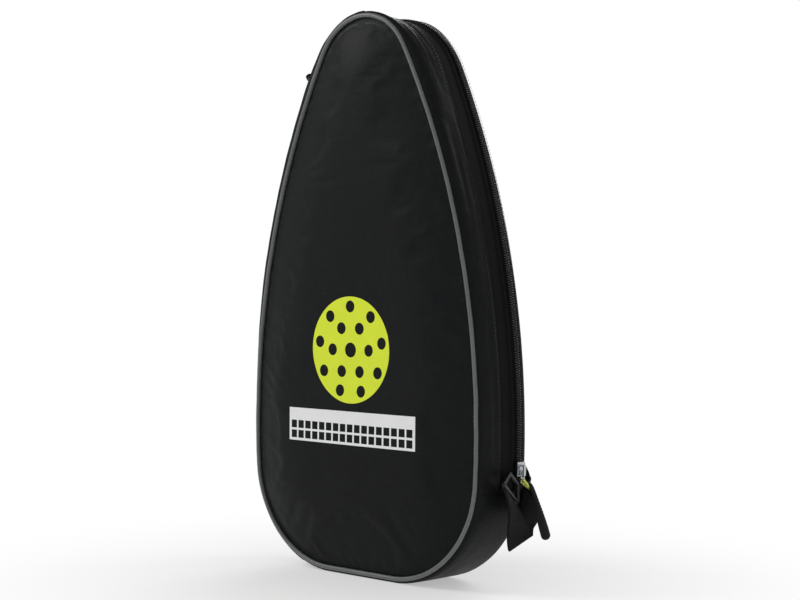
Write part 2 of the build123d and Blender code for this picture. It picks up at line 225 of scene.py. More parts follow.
def add_bump(tree, height, strength, distance, before=None):
    """Bump from a height, on top of an earlier one if given."""
    bump = node(tree, "ShaderNodeBump", Strength=strength, Distance=distance)
    tree.links.new(height, bump.inputs["Height"])
    if before is not None:
        tree.links.new(before, bump.inputs["Normal"])
    return bump.outputs["Normal"]


def shades(tree, factor, shader, stops):
    """Base colour that runs between two (place, colour) stops."""
    made = node(tree, "ShaderNodeValToRGB")
    for element, (place, colour) in zip(made.color_ramp.elements, stops):
        element.position = place
        element.color = (*colour, 1)
    tree.links.new(factor, made.inputs["Fac"])
    tree.links.new(made.outputs["Color"], shader.inputs["Base Color"])


BROAD_SCALE = 60.0
THREAD_SCALE = 1400.0


def cloth_material(name, dark, light, roughness, sheen=0.01, creases=0.25, gloss=0.08, ribs=None):
    """Woven cloth: slubby crossed threads, broad colour variation and soft creases."""
    material, tree, shader = new_material(name)
    link = tree.links.new
    place = rest_coordinates(tree)
    first = stretched_noise(tree, place, 1.0, (BROAD_SCALE, BROAD_SCALE, THREAD_SCALE))
    second = stretched_noise(tree, place, 1.0, (THREAD_SCALE, BROAD_SCALE, BROAD_SCALE))
    broad = stretched_noise(tree, place, 14.0, (1, 1, 1), 5.0)
    speck = stretched_noise(tree, place, 1500.0, (1, 1, 1), 1.0)
    shade = mean_of(tree, ((first, 0.3), (second, 0.2), (broad, 0.25), (speck, 0.25)))
    shades(tree, shade, shader, ((0.36, dark), (0.64, light)))
    weave = mean_of(tree, ((first, 0.5), (second, 0.5)))
    normal = add_bump(tree, weave, 0.5, 0.0003)
    wrinkle = stretched_noise(tree, place, 30.0, (1, 1, 1), 4.0)
    normal = add_bump(tree, wrinkle, creases, 0.003, normal)
    if ribs:
        wave = node(tree, "ShaderNodeTexWave", Scale=ribs, Distortion=0.0)
        along = node(tree, "ShaderNodeAttribute", attribute_name="along")
        link(along.outputs["Vector"], wave.inputs["Vector"])
        normal = add_bump(tree, wave.outputs["Fac"], 0.7, 0.0006, normal)
    link(normal, shader.inputs["Normal"])
    shader.inputs["Roughness"].default_value = roughness
    shader.inputs["Sheen Weight"].default_value = sheen
    shader.inputs["Sheen Roughness"].default_value = 0.45
    shader.inputs["Specular IOR Level"].default_value = gloss
    return material


def smooth_material(
    name, colour, roughness, metallic=0.0, grain=300.0, grain_depth=0.08, spread=0.25, shine=0.5
):
    """Moulded, printed or metal surface with fine grain and uneven gloss."""
    material, tree, shader = new_material(name)
    link = tree.links.new
    place = rest_coordinates(tree)
    broad = node(tree, "ShaderNodeTexNoise", Scale=60.0, Detail=4.0)
    link(place, broad.inputs["Vector"])
    dark = [c * (1 - spread) for c in colour]
    shades(tree, broad.outputs["Fac"], shader, ((0.3, dark), (0.75, colour)))
    low, high = max(0.03, roughness - 0.1), min(1.0, roughness + 0.1)
    gloss = node(tree, "ShaderNodeMapRange", **{"To Min": low, "To Max": high})
    link(broad.outputs["Fac"], gloss.inputs["Value"])
    link(gloss.outputs["Result"], shader.inputs["Roughness"])
    fine = node(tree, "ShaderNodeTexNoise", Scale=grain, Detail=2.0)
    link(place, fine.inputs["Vector"])
    link(add_bump(tree, fine.outputs["Fac"], grain_depth, 0.0005), shader.inputs["Normal"])
    shader.inputs["Metallic"].default_value = metallic
    shader.inputs["Specular IOR Level"].default_value = shine
    return material


POLYESTER = cloth_material("polyester", (0.0042, 0.0047, 0.0051), (0.0105, 0.0113, 0.0119), 0.5)
GUSSET_CLOTH = cloth_material(
    "gusset_polyester", (0.0036, 0.0039, 0.0043), (0.009, 0.0096, 0.0102), 0.48, creases=0.35
)
TAPE_CLOTH = cloth_material(
    "zip_tape_cloth", (0.002, 0.0021, 0.0024), (0.005, 0.0053, 0.006), 0.7, creases=0.1
)
PIPING_CLOTH = cloth_material(
    "piping_cloth", (0.085, 0.09, 0.09), (0.135, 0.14, 0.142), 0.42, 0.1, 0.15, gloss=0.45
)
LINING_CLOTH = cloth_material("lining_cloth", (0.010, 0.010, 0.012), (0.02, 0.02, 0.023), 0.45, 0.1, 0.5)
RIBBED = cloth_material(
    "strap_webbing", (0.0035, 0.0038, 0.0042), (0.009, 0.0095, 0.0102), 0.55, creases=0.1, ribs=190.0
)
THREAD = smooth_material("thread", (0.02, 0.021, 0.023), 0.6)
COIL = smooth_material("coil_nylon", (0.03, 0.031, 0.033), 0.38, grain=500.0, shine=0.3)
INK = {"grain": THREAD_SCALE, "grain_depth": 0.35, "spread": 0.05}
LIME = smooth_material("lime_ink", (0.68, 0.80, 0.012), 0.55, **INK)
WHITE = smooth_material("white_ink", (0.80, 0.81, 0.80), 0.55, **INK)
NICKEL = smooth_material("nickel", (0.50, 0.52, 0.54), 0.2, 1.0)
LACQUER = smooth_material("black_lacquer", (0.006, 0.006, 0.007), 0.28, shine=0.22)
MOULDED = smooth_material(
    "moulded_black", (0.006, 0.006, 0.0065), 0.5, grain=700.0, grain_depth=0.25, shine=0.15
)
YELLOW = smooth_material("yellow_cord", (0.62, 0.66, 0.09), 0.6, grain=900.0, grain_depth=0.5)


# ---- mesh helpers --------------------------------------------------------
def add_object(name, data):
    made = bpy.data.objects.new(name, data)
    bpy.context.scene.collection.objects.link(made)
    return made


def finish_mesh(name, verts, faces, material, along=None):
    """Object from points in millimetres."""
    mesh = bpy.data.meshes.new(name)
    mesh.from_pydata([tuple(float(c) * MM for c in point) for point in verts], [], faces)
    mesh.materials.append(material)
    remember_rest(mesh)
    if along is not None:
        ride_along = mesh.attributes.new("along", "FLOAT_VECTOR", "POINT")
        ride_along.data.foreach_set("vector", np.asarray(along, np.float32).ravel() * MM)
    mesh.shade_smooth()
    return add_object(name, mesh)


def remember_rest(mesh):
    """Stores where each point rests, for the patterns of the materials."""
    rest = mesh.attributes.get("rest") or mesh.attributes.new("rest", "FLOAT_VECTOR", "POINT")
    rest.data.foreach_set("vector", point_positions(mesh).ravel())


def point_positions(mesh):
    co = np.zeros(len(mesh.vertices) * 3, np.float32)
    mesh.vertices.foreach_get("co", co)
    return co.reshape(-1, 3)


def grid_faces(rows, columns, closed_rows=False, closed_columns=False):
    """Four sided faces of a rows x columns grid of points, closed on itself if asked."""
    faces = []
    for r in range(rows if closed_rows else rows - 1):
        for c in range(columns if closed_columns else columns - 1):
            r1, c1 = (r + 1) % rows, (c + 1) % columns
            faces.append((r * columns + c, r1 * columns + c, r1 * columns + c1, r * columns + c1))
    return faces


def tube_faces(rows, columns):
    """Faces of a tube with a cap at each end."""
    last = (rows - 1) * columns
    caps = [tuple(range(columns))[::-1], tuple(range(last, last + columns))]
    return grid_faces(rows, columns, False, True) + caps


def sheet(name, grid, material):
    """Surface from an array of points, rows x columns x 3."""
    rows, columns = grid.shape[:2]
    return finish_mesh(name, grid.reshape(-1, 3), grid_faces(rows, columns), material)


def rounded(made):
    """Applies one subdivision so the piece is smooth and final."""
    modifier = made.modifiers.new("smooth", "SUBSURF")
    modifier.levels = modifier.render_levels = 1
    bpy.context.view_layer.update()
    graph = bpy.context.evaluated_depsgraph_get()
    final = bpy.data.meshes.new_from_object(made.evaluated_get(graph))
    made.modifiers.clear()
    made.data = final
    remember_rest(final)
    return made


def stands_for(made, slot, *replaced):
    """Hides the CAD pieces whose place a piece takes; the slot is not used."""
    if replaced:
        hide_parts(*replaced)


def hinged(made, slot, *replaced):
    """A piece of the front: bakes its placement into its mesh and hides the CAD pieces it replaces."""
    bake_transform(made)
    stands_for(made, slot, *replaced)


def fixed(made, slot, *replaced):
    """A piece that stays with the case."""
    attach(made, "case_body")
    stands_for(made, slot, *replaced)


# ---- case shell ----------------------------------------------------------
BASE_SLACK = 0.35  # looseness of the gusset cloth low down, 1 at the narrow end
PUFF_LOW = 0.8  # roll past the piping low down
PUFF_HIGH = 3.6  # and along the upper half
PUFF_RIGHT = 0.45  # share of it on the right, where the zip keeps the cloth tight
PUFF_RISE = (0.0, 2.2)  # depth behind the piping over which the roll builds up
PUFF_FALL = (4.0, 17.0)  # and over which it dies away
BASE_HEIGHT = 6.0  # below this the cloth stands on the floor and stays flat
BASE_PUSH = 0.15
STRIP_FADE = (STRIP_Y - 3, STRIP_Y + 6)  # folds fade past the strip's sewn edge


def swell(y):
    """How far the gusset has moved from the sewn edge to the zip outline at depth y."""
    front = np.clip((y - FRONT_Y) / (STRIP_Y - FRONT_Y), 0, 1)
    rear = np.clip((BACK_Y - y) / (BACK_Y - REAR_Y), 0, 1)
    return np.sin(math.pi / 2 * front) * np.sin(math.pi / 2 * rear)


def slackness(z):
    """Gusset cloth is looser towards the narrow end and tight at the base."""
    return BASE_SLACK + (1 - BASE_SLACK) * ramp(z, 150, 420)


def puff(y, x, z):
    """Cloth that rolls out past the front piping before it turns along the side."""
    behind = y - FRONT_Y
    roll = ramp(behind, *PUFF_RISE) * (1 - ramp(behind, *PUFF_FALL))
    upper = ramp(z, 130, 260) * (1 - 0.85 * ramp(z, 405, 448))
    return roll * (PUFF_LOW + (PUFF_HIGH - PUFF_LOW) * upper) * (1.0 if x < 0 else PUFF_RIGHT)


BROAD_FOLDS = (0.010, 0.17, 1.5)
NARROW_FOLDS = (0.022, 0.42, 0.55)
PUCKERS = (0.075, 0.05, 0.3)


def long_folds(run, y, seed):
    """Soft folds that run along the strip, broken up along its length."""
    return ripple(run, y, seed, BROAD_FOLDS) + ripple(run, y, seed + 7, NARROW_FOLDS)


def gusset_point_grid(where, profile, wrinkle=1.0, seed=0.0):
    """Points of a strip: where are outline samples, profile is (y, lift off the surface)."""
    grid = np.zeros((len(where), len(profile), 3))
    run = run_along(at(ZIP_LINE.points, where))
    for column, (y, lift) in enumerate(profile):
        share = float(swell(np.array(y)))
        points, normals = blend_line(EDGE_LINE, ZIP_LINE, share)
        points, normals = at(points, where), at(normals, where)
        for row in range(len(where)):
            x, z = points[row]
            loose = slackness(z) * wrinkle * min(1.0, share * 1.6)
            loose *= 1 - float(ramp(y, *STRIP_FADE)) * 0.85
            pucker = ripple(run[row], y, seed + 3, PUCKERS)
            push = lift + long_folds(run[row], y, seed) * loose + pucker * wrinkle * (1 - share * 0.6)
            if wrinkle > 0 and y < STRIP_Y:
                push += float(puff(y, x, z))
            if z < BASE_HEIGHT:
                push = min(push, BASE_PUSH)
            nx, nz = normals[row]
            grid[row, column] = (x + nx * push, y, z + nz * push)
    return grid


def between_heights(low, pitch):
    """Samples from a height on the right, over the top, to the same height on the left."""
    return evenly(sample_at_height(low, True), sample_at_height(low, False), pitch)


def above_seam(pitch):
    return between_heights(SEAM_Z, pitch)


def turned_edge(start, end, count):
    """Depth steps across a strip that ends in a turned hem."""
    steps = [(y, 0.0) for y in np.linspace(start, end, count)]
    steps[-1] = (end - 0.6, 0.55)
    return steps + [(end, 0.25), (end + 0.1, -0.4), (end - 2.5, -0.8)]


def edge_lead(y0, way):
    """First steps of a strip, tucked down against the piping."""
    return [(y0 + way * 0.2, -2.0), (y0 + way * 0.9, -1.0), (y0 + way * 2.0, -0.2)]


GUSSET_PITCH = 2.2
TAPE_PITCH = 2.5
BASE_PITCH = 3.0
TAPE_LEVEL = 0.15  # tape height under the coil
SEAM_LAP = 1.2  # the base strip laps this far over the cross seam


def build_front_gusset():
    profile = edge_lead(FRONT_Y, 1) + turned_edge(FRONT_Y + 3.2, STRIP_Y, 14)
    made = sheet("front_gusset_cloth", gusset_point_grid(above_seam(GUSSET_PITCH), profile), GUSSET_CLOTH)
    hinged(made, "fabric", "front_gusset", "front_gusset_lower")


def build_rear_gusset():
    profile = edge_lead(BACK_Y, -1) + [(BACK_Y - 3.4, -0.7), (BACK_Y - 4.6, -1.0), (BACK_Y - 5.6, -1.1)]
    profile += [(REAR_Y + 0.4, -1.2), (REAR_Y, -1.7), (REAR_Y + 1.6, -2.2)]
    points = gusset_point_grid(above_seam(GUSSET_PITCH), profile, 0.3, 20.0)
    made = sheet("rear_gusset_cloth", points, GUSSET_CLOTH)
    fixed(made, "fabric", "rear_gusset")


def build_base_gusset():
    """Full depth strip under the zip, both turned up ends stopping at the cross seam."""
    lead = edge_lead(FRONT_Y, 1) + [(FRONT_Y + 3.2, 0.0)]
    middle = [(y, 0.3) for y in np.linspace(FRONT_Y + 6, BACK_Y - 5, 16)]
    tail = [(BACK_Y - 2.6, 0.0)] + edge_lead(BACK_Y, -1)[::-1]
    end_right = sample_at_height(SEAM_Z + SEAM_LAP, True)
    end_left = sample_at_height(SEAM_Z + SEAM_LAP, False)
    right = evenly(0, end_right, BASE_PITCH)
    left = evenly(end_left, ZIP_LINE.last, BASE_PITCH)
    where = np.concatenate([left, right[1:]])
    grid = gusset_point_grid(where, lead + middle + tail, 0.5, 40.0)
    for row, lift in ((0, -1.4), (-1, -1.4), (1, 0.5), (-2, 0.5)):
        nx, nz = at(ZIP_LINE.normals, [where[row]])[0]
        grid[row, 3:-3, 0] += nx * lift
        grid[row, 3:-3, 2] += nz * lift
    made = sheet("base_gusset_cloth", grid, GUSSET_CLOTH)
    fixed(made, "fabric", "bottom_gusset")


def build_tapes():
    """Zip tapes: the front one has a fine cord welt beside the coil."""
    front = [(STRIP_Y - 2.5, -1.1), (STRIP_Y, -0.9)]
    front += [(y, -0.6) for y in np.linspace(STRIP_Y + 2, ZIP_Y - 9.5, 5)]
    front += [(ZIP_Y - 8.2, 0.3), (ZIP_Y - 7.2, 0.75), (ZIP_Y - 6.2, 0.35), (ZIP_Y - 5.2, -0.7)]
    front += [(ZIP_Y - 3.3, -0.8), (ZIP_Y - 2.9, TAPE_LEVEL)]
    front += [(ZIP_Y - 0.35, TAPE_LEVEL), (ZIP_Y - 0.25, -0.8)]
    points = gusset_point_grid(above_seam(TAPE_PITCH), front, 0.55, 5.0)
    made = sheet("zip_tape_front_cloth", points, TAPE_CLOTH)
    hinged(made, "zip_tape", "zip_tape_front", "zip_tape_lower")
    rear = [(ZIP_Y + 0.25, -0.8), (ZIP_Y + 0.35, TAPE_LEVEL)]
    rear += [(ZIP_Y + 2.9, TAPE_LEVEL), (ZIP_Y + 3.3, -0.9)]
    rear += [(ZIP_Y + 4.4, -1.6), (REAR_Y + 2.5, -2.0)]
    made = sheet("zip_tape_rear_cloth", gusset_point_grid(above_seam(TAPE_PITCH), rear, 0.2, 5.0), TAPE_CLOTH)
    fixed(made, "zip_tape", "zip_tape_rear")


COIL_PITCH = 1.9
COIL_START = SEAM_Z + 5
TOOTH_SIDES = 6
TOOTH_RISE = 1.5
TOOTH_HALF = 1.5
TOOTH_RADIUS = 0.48
TOOTH_HEIGHT = 0.8
TOOTH_OFFSET = 1.35
TOOTH_STATIONS = ((-1.0, 0.35), (-0.6, 1.0), (0.7, 1.0), (1.0, 0.5))


def bar_ring(centre, across, out, half, radius):
    """Points of a six sided bead lying across the zip, one coil tooth."""
    verts = []
    for station, swell_by in TOOTH_STATIONS:
        for k in range(TOOTH_SIDES):
            angle = 2 * math.pi * k / TOOTH_SIDES
            off = out * (math.sin(angle) * radius * TOOTH_RISE * swell_by)
            run = np.cross(across, out) * (math.cos(angle) * radius * swell_by)
            verts.append(centre + across * (half * station) + off + run)
    return verts


def teeth(name, side):
    """Coil teeth evenly along the zip; the two sides interleave."""
    where = between_heights(COIL_START, COIL_PITCH)
    if side > 0:
        where = (where[:-1] + where[1:]) / 2
    points, normals = at(ZIP_LINE.points, where), at(ZIP_LINE.normals, where)
    verts, faces = [], []
    for (x, z), (nx, nz) in zip(points, normals):
        out = np.array([nx, 0, nz])
        out /= np.linalg.norm(out)
        centre = np.array([x, ZIP_Y + side * TOOTH_OFFSET, z]) + out * TOOTH_HEIGHT
        base = len(verts)
        verts += bar_ring(centre, np.array([0, 1.0, 0]), out, TOOTH_HALF, TOOTH_RADIUS)
        for ring in range(len(TOOTH_STATIONS) - 1):
            for k in range(TOOTH_SIDES):
                a = base + ring * TOOTH_SIDES + k
                b = base + ring * TOOTH_SIDES + (k + 1) % TOOTH_SIDES
                faces.append((a, b, b + TOOTH_SIDES, a + TOOTH_SIDES))
        last = base + (len(TOOTH_STATIONS) - 1) * TOOTH_SIDES
        faces.append(tuple(base + k for k in range(TOOTH_SIDES))[::-1])
        faces.append(tuple(last + k for k in range(TOOTH_SIDES)))
    return finish_mesh(name, verts, faces, COIL)


def build_coils():
    made = teeth("zip_teeth_front", -1)
    hinged(made, "zip_coil", "zip_coil_front", "zip_coil_lower")
    made = teeth("zip_teeth_rear", 1)
    fixed(made, "zip_coil", "zip_coil_rear")


STITCH_PITCH = 3.2
STITCH_HALF = 0.26
STITCH_ARCH = ((0.12, -0.1), (0.3, 0.22), (0.7, 0.22), (0.88, -0.1))


def stitch_row(name, y, lift, wrinkle=1.0, seed=0.0, blended=True):
    """Row of short raised stitches following the strip."""
    rows = gusset_point_grid(above_seam(STITCH_PITCH), [(y, lift)], wrinkle, seed)[:, 0]
    verts, faces = [], []
    for a, b in zip(rows[:-1], rows[1:]):
        way = b - a
        side = np.array([0, 1.0, 0])
        out = np.cross(way, side)
        out /= np.linalg.norm(out)
        base = len(verts)
        for t, rise in STITCH_ARCH:
            middle = a + way * t + out * rise
            verts += [middle - side * STITCH_HALF, middle + side * STITCH_HALF]
        for k in range(3):
            i = base + 2 * k
            faces.append((i, i + 1, i + 3, i + 2))
    made = finish_mesh(name, verts, faces, THREAD)
    carry = hinged if blended else fixed
    carry(made, "fabric")


PIPING_PITCH = 2.4
PIPING_SIDES = 14
PIPING_WAVER = 0.35  # how far the sewn cord strays from its line
PIPING_STILL = 8.0  # height below which it lies straight


def piping_cord(name, y):
    """Closed cord round the whole outline, not quite even in line or girth."""
    where = evenly(0, PIPING_LINE.last, PIPING_PITCH, PIPING_LINE)[:-1]
    points, normals = at(PIPING_LINE.points, where), at(PIPING_LINE.normals, where)
    grid = np.zeros((len(where), PIPING_SIDES, 3))
    for row in range(len(where)):
        x, z = points[row]
        nx, nz = normals[row]
        waver = noise_at(where[row] * 0.12, y, 1.0) * PIPING_WAVER if z > PIPING_STILL else 0.0
        radius = PIPING_RADIUS * (1.0 + 0.05 * noise_at(where[row] * 0.5, y, 4.0))
        for k in range(PIPING_SIDES):
            angle = 2 * math.pi * k / PIPING_SIDES
            reach = radius * math.cos(angle) + waver
            grid[row, k] = (x + nx * reach, y + radius * math.sin(angle), z + nz * reach)
    faces = grid_faces(len(where), PIPING_SIDES, True, True)
    return finish_mesh(name, grid.reshape(-1, 3), faces, PIPING_CLOTH)


def build_piping():
    made = piping_cord("front_piping_cord", FRONT_Y)
    hinged(made, "piping", "front_piping", "front_piping_lower")
    made = piping_cord("back_piping_cord", BACK_Y)
    fixed(made, "piping", "back_piping")


# ---- crowned panels ------------------------------------------------------
HUB = np.array([0.0, 185.0])
RINGS = (1 - np.linspace(0, 1, 64) ** 1.35)[:-1]
CROWN_REACH = 52.0  # distance from the seam at which the crown is full
CROWN_POWER = 2.3


def ringed_plan(outline):
    """Plan of a panel: rings drawn in from the outline towards a hub."""
    edge = outline.points[:-1]
    return HUB + (edge[None] - HUB) * RINGS[:, None, None]


def edge_distance(plan):
    """Distance of each plan point from the piping line, worked out a block at a time."""
    edge = PIPING_LINE.points[:-1:2]
    flat = plan.reshape(-1, 2)
    blocks = np.array_split(flat, len(flat) // 4000 + 1)
    nearest = [np.linalg.norm(part[:, None] - edge[None], axis=2).min(1) for part in blocks]
    return np.concatenate(nearest).reshape(plan.shape[:2])


def crown_height(distance, crown):
    """Swell of a padded panel: steep beside the piping, then nearly flat."""
    share = np.clip(distance / CROWN_REACH, 0, 1)
    return crown * (1 - (1 - share) ** CROWN_POWER)


UNEVEN = (0.012, 0.009, 1.0)
LINING_SAG = (0.012, 0.009, 1.3)
LINING_CREASES = (0.035, 0.028, 0.35)
LINING_PUCKERS = (0.16, 0.16, 0.35)
LINING_INSET = 3.2


def lining_depth(plan, y_edge, crown, way, seed):
    """Depth of a lining at plan points. way is -1 for the front, 1 for the back."""
    distance = edge_distance(plan)
    height = crown_height(np.maximum(distance - 2.0, 0), crown)
    roll = ramp(distance, 2.0, 5.5) * 1.5 - 1.5
    for _ in range(10):
        height[1:-1] = (height[:-2] + height[1:-1] * 2 + height[2:]) / 4
        height = (np.roll(height, 1, 1) + height * 2 + np.roll(height, -1, 1)) / 4
    soft = np.zeros_like(height)
    for i in range(plan.shape[0]):
        for j in range(plan.shape[1]):
            x, z = plan[i, j]
            inner = min(1.0, distance[i, j] / 25.0)
            soft[i, j] = ripple(x, z, seed, LINING_SAG) * inner
            soft[i, j] += ripple(x, z, seed + 5, LINING_CREASES) * inner
            near = max(0.0, 1 - distance[i, j] / 22.0) * min(1.0, distance[i, j] / 5.0)
            soft[i, j] += ripple(x, z, seed + 9, LINING_PUCKERS) * near
    return y_edge + way * (height + soft + roll)


def lining_panel(name, y_edge, crown, way, seed):
    """Lining as rings of faces closed by a fan at the hub, outer side out."""
    plan = ringed_plan(PIPING_LINE.grown(-LINING_INSET))
    depth = lining_depth(plan, y_edge, crown, way, seed)
    rings, count = plan.shape[:2]
    grid = np.stack([plan[..., 0], depth, plan[..., 1]], 2)
    verts = list(grid.reshape(-1, 3))
    verts.append(np.array([HUB[0], depth[-1].mean(), HUB[1]]))
    hub, last = len(verts) - 1, (rings - 1) * count
    faces = grid_faces(rings, count, False, True)
    faces += [(last + k, hub, last + (k + 1) % count) for k in range(count)]
    if way > 0:
        faces = [face[::-1] for face in faces]
    return finish_mesh(name, verts, faces, LINING_CLOTH)


def inside_ring(points, ring):
    """Even-odd test of plan points against a closed ring."""
    crossings = np.zeros(len(points), int)
    for (x0, z0), (x1, z1) in zip(ring, np.roll(ring, -1, 0)):
        if z0 == z1:
            continue
        spans = (points[:, 1] > min(z0, z1)) & (points[:, 1] <= max(z0, z1))
        reach = x0 + (points[:, 1] - z0) * (x1 - x0) / (z1 - z0)
        crossings += spans & (points[:, 0] < reach)
    return crossings % 2 == 1


CLOTH_SPACING = 3.4
ROW_RATIO = 0.866  # height of an equal sided triangle
SEAM_BAND = 2.6  # cloth this near the piping is held by the seam
SEAM_TUCK = 1.2  # depth by which the cloth is tucked in at the seam
CROWN_START = 1.6
RELAX_ROUNDS = 60


def even_triangles(outline, spacing):
    """Plan of a cut panel filled with near equal triangles."""
    ring = at(outline.points, evenly(0, outline.last, spacing, outline)[:-1])
    rows = np.arange(ring[:, 1].min(), ring[:, 1].max(), spacing * ROW_RATIO)
    across = np.arange(-132, 132, spacing)
    grid = np.array([(x + (k % 2) * spacing / 2, z) for k, z in enumerate(rows) for x in across])
    grid = grid[inside_ring(grid, ring)]
    clear = np.array([np.linalg.norm(ring - p, axis=1).min() > spacing * 0.7 for p in grid])
    points = [Vector(p) for p in np.concatenate([ring, grid[clear]])]
    edges = [(k, (k + 1) % len(ring)) for k in range(len(ring))]
    verts, _, faces, *_ = delaunay_2d_cdt(points, edges, [], 1, 1e-4)
    return np.array([tuple(p) for p in verts]), [tuple(f) for f in faces]


def relaxed(values, faces, held, rounds):
    """Averages each free value with its neighbours."""
    pairs = {tuple(sorted(pair)) for f in faces for pair in zip(f, f[1:] + f[:1])}
    pairs = np.array(sorted(pairs))
    count = np.bincount(pairs.ravel(), minlength=len(values))
    for _ in range(rounds):
        total = np.bincount(pairs[:, 0], values[pairs[:, 1]], len(values))
        total += np.bincount(pairs[:, 1], values[pairs[:, 0]], len(values))
        values = np.where(held, values, values * 0.4 + total / count * 0.6)
    return values


def padded_panel(name, y_edge, crown, way, seed):
    """Sewn panel blown out by its padding: pinned at the seam and settled as cloth."""
    plan, faces = even_triangles(PIPING_LINE.grown(-1.4), CLOTH_SPACING)
    distance = edge_distance(plan[None])[0]
    held = distance < SEAM_BAND
    height = crown_height(np.maximum(distance - CROWN_START, 0), crown)
    height = relaxed(height - SEAM_TUCK, faces, held, RELAX_ROUNDS)
    uneven = np.array([ripple(x, z, seed, UNEVEN) for x, z in plan])
    height += uneven * np.clip(distance / 30, 0, 1)
    verts = np.stack([plan[:, 0], y_edge + way * height, plan[:, 1]], 1)
    made = finish_mesh(name, verts, faces, POLYESTER)
    fix_facing(made, way)
    settle_cloth(made, held, way)
    return rounded(made)


def fix_facing(made, way):
    """Turns the whole panel so that its outer side faces out."""
    facing = sum(face.normal.y * face.area for face in made.data.polygons)
    if facing * way < 0:
        made.data.flip_normals()


CLOTH_FRAMES = 18
CLOTH_SETTINGS = {
    "quality": 6,
    "mass": 0.3,
    "tension_stiffness": 25,
    "compression_stiffness": 25,
    "shear_stiffness": 10,
    "bending_stiffness": 0.6,
    "vertex_group_mass": "seam",
    "use_pressure": True,
    "uniform_pressure_force": 0.25,
    "shrink_min": -0.004,  # a little more cloth than the seam needs
}
FOAM_GIVE = 0.4 * MM
PUFF_LIMIT = 1.3 * MM


def cloth_modifier(made, held):
    """Cloth pinned where it is held by the seam."""
    group = made.vertex_groups.new(name="seam")
    group.add([int(k) for k in np.nonzero(held)[0]], 1.0, "REPLACE")
    modifier = made.modifiers.new("cloth", "CLOTH")
    for key, value in CLOTH_SETTINGS.items():
        setattr(modifier.settings, key, value)
    modifier.settings.effector_weights.gravity = 0
    modifier.point_cache.frame_start = 1
    modifier.point_cache.frame_end = CLOTH_FRAMES


def limited(moves, limit):
    """Moves eased off so that none passes the limit."""
    return limit * np.tanh(moves / limit)


def settle_cloth(made, held, way):
    """Cloth simulation under a little air pressure; the foam behind stops it sinking."""
    start = point_positions(made.data)
    cloth_modifier(made, held)
    for frame_number in range(1, CLOTH_FRAMES + 1):
        bpy.context.scene.frame_set(frame_number)
    graph = bpy.context.evaluated_depsgraph_get()
    settled = bpy.data.meshes.new_from_object(made.evaluated_get(graph))
    step = point_positions(settled) - start
    out = step[:, 1] * way
    step[:, 1] = np.where(out > 0, limited(out, PUFF_LIMIT), limited(out, FOAM_GIVE)) * way
    step[:, [0, 2]] = limited(step[:, [0, 2]], PUFF_LIMIT)
    made.modifiers.clear()
    bpy.context.scene.frame_set(1)
    made.data.vertices.foreach_set("co", (start + step).ravel())
    made.data.update()


def build_panels():
    made = padded_panel("front_panel_cloth", FRONT_Y, CROWN, -1, 11.0)
    hinged(made, "fabric", "front_panel", "front_panel_lower", "front_foam", "front_foam_lower")
    made = padded_panel("back_panel_cloth", BACK_Y, BACK_CROWN, 1, 31.0)
    fixed(made, "fabric", "back_panel", "back_foam")
    made = lining_panel("front_lining_cloth", FRONT_Y + 1.0, 5.0, -1, 51.0)
    hinged(made, "lining", "front_lining", "front_lining_lower")
    made = lining_panel("back_lining_cloth", BACK_Y - 5.4, 0.4, 1, 61.0)
    fixed(made, "lining", "back_lining")


# ---- prints --------------------------------------------------------------
INK_STEP = 4.0 * MM
INK_THICK = 0.18 * MM
INK_ACROSS = (-0.09, 0.09)  # span of the cuts across and up, in metres
INK_UP = (0.05, 0.26)
FAR_FRONT = -0.2  # depth that the prints are dropped from, in metres


def wear(made, material):
    """Gives a piece one material and no other."""
    made.data.materials.clear()
    made.data.materials.append(material)


def cut_in_steps(mesh, way, span):
    """Cuts a flat shape at even steps so that it can follow a curve."""
    for step in np.arange(*span, INK_STEP):
        geometry = mesh.verts[:] + mesh.edges[:] + mesh.faces[:]
        bmesh.ops.bisect_plane(mesh, geom=geometry, dist=1e-6, plane_co=way * float(step), plane_no=way)


def lay_ink(name, material, slot, cloth):
    """Front face of a print, cut fine and dropped onto the cloth."""
    made = add_object(name + "_ink", bpy.data.objects[name].data.copy())
    wear(made, material)
    mesh = bmesh.new()
    mesh.from_mesh(made.data)
    back = [f for f in mesh.faces if f.normal.y > -0.7]
    bmesh.ops.delete(mesh, geom=back, context="FACES")
    bmesh.ops.remove_doubles(mesh, verts=mesh.verts, dist=1e-5)
    cut_in_steps(mesh, X, INK_ACROSS)
    cut_in_steps(mesh, Z, INK_UP)
    for vert in mesh.verts:
        hit = cloth.ray_cast(Vector((vert.co.x, FAR_FRONT, vert.co.z)), Y)
        if hit[0] is not None:
            vert.co.y = hit[0].y - INK_THICK
    mesh.to_mesh(made.data)
    mesh.free()
    remember_rest(made.data)
    hinged(made, slot, name)


def build_prints():
    panel = bpy.data.objects["front_panel_cloth"]
    cloth = BVHTree.FromObject(panel, bpy.context.evaluated_depsgraph_get())
    lay_ink("print_ball", LIME, "lime_print", cloth)
    lay_ink("print_net", WHITE, "white_print", cloth)


# ---- webbing and strap ---------------------------------------------------
def unit(x, y, z):
    return Vector((x, y, z)).normalized()


def spline(p0, p1, p2, p3, t):
    """Catmull-Rom between the middle two of four values."""
    square = 2 * p0 - 5 * p1 + 4 * p2 - p3
    cube = 3 * p1 - p0 - 3 * p2 + p3
    return 0.5 * (2 * p1 + (p2 - p0) * t + square * t**2 + cube * t**3)


def eased(keys, steps):
    """Smooth run of (point, across) through the stations."""
    made = []
    for i in range(len(keys) - 1):
        near = (keys[max(i - 1, 0)], keys[i], keys[i + 1], keys[min(i + 2, len(keys) - 1)])
        for s in range(steps):
            point = spline(*[key[0] for key in near], s / steps)
            across = spline(*[key[1] for key in near], s / steps)
            made.append((point, across.normalized()))
    made.append((keys[-1][0], keys[-1][1].normalized()))
    return made


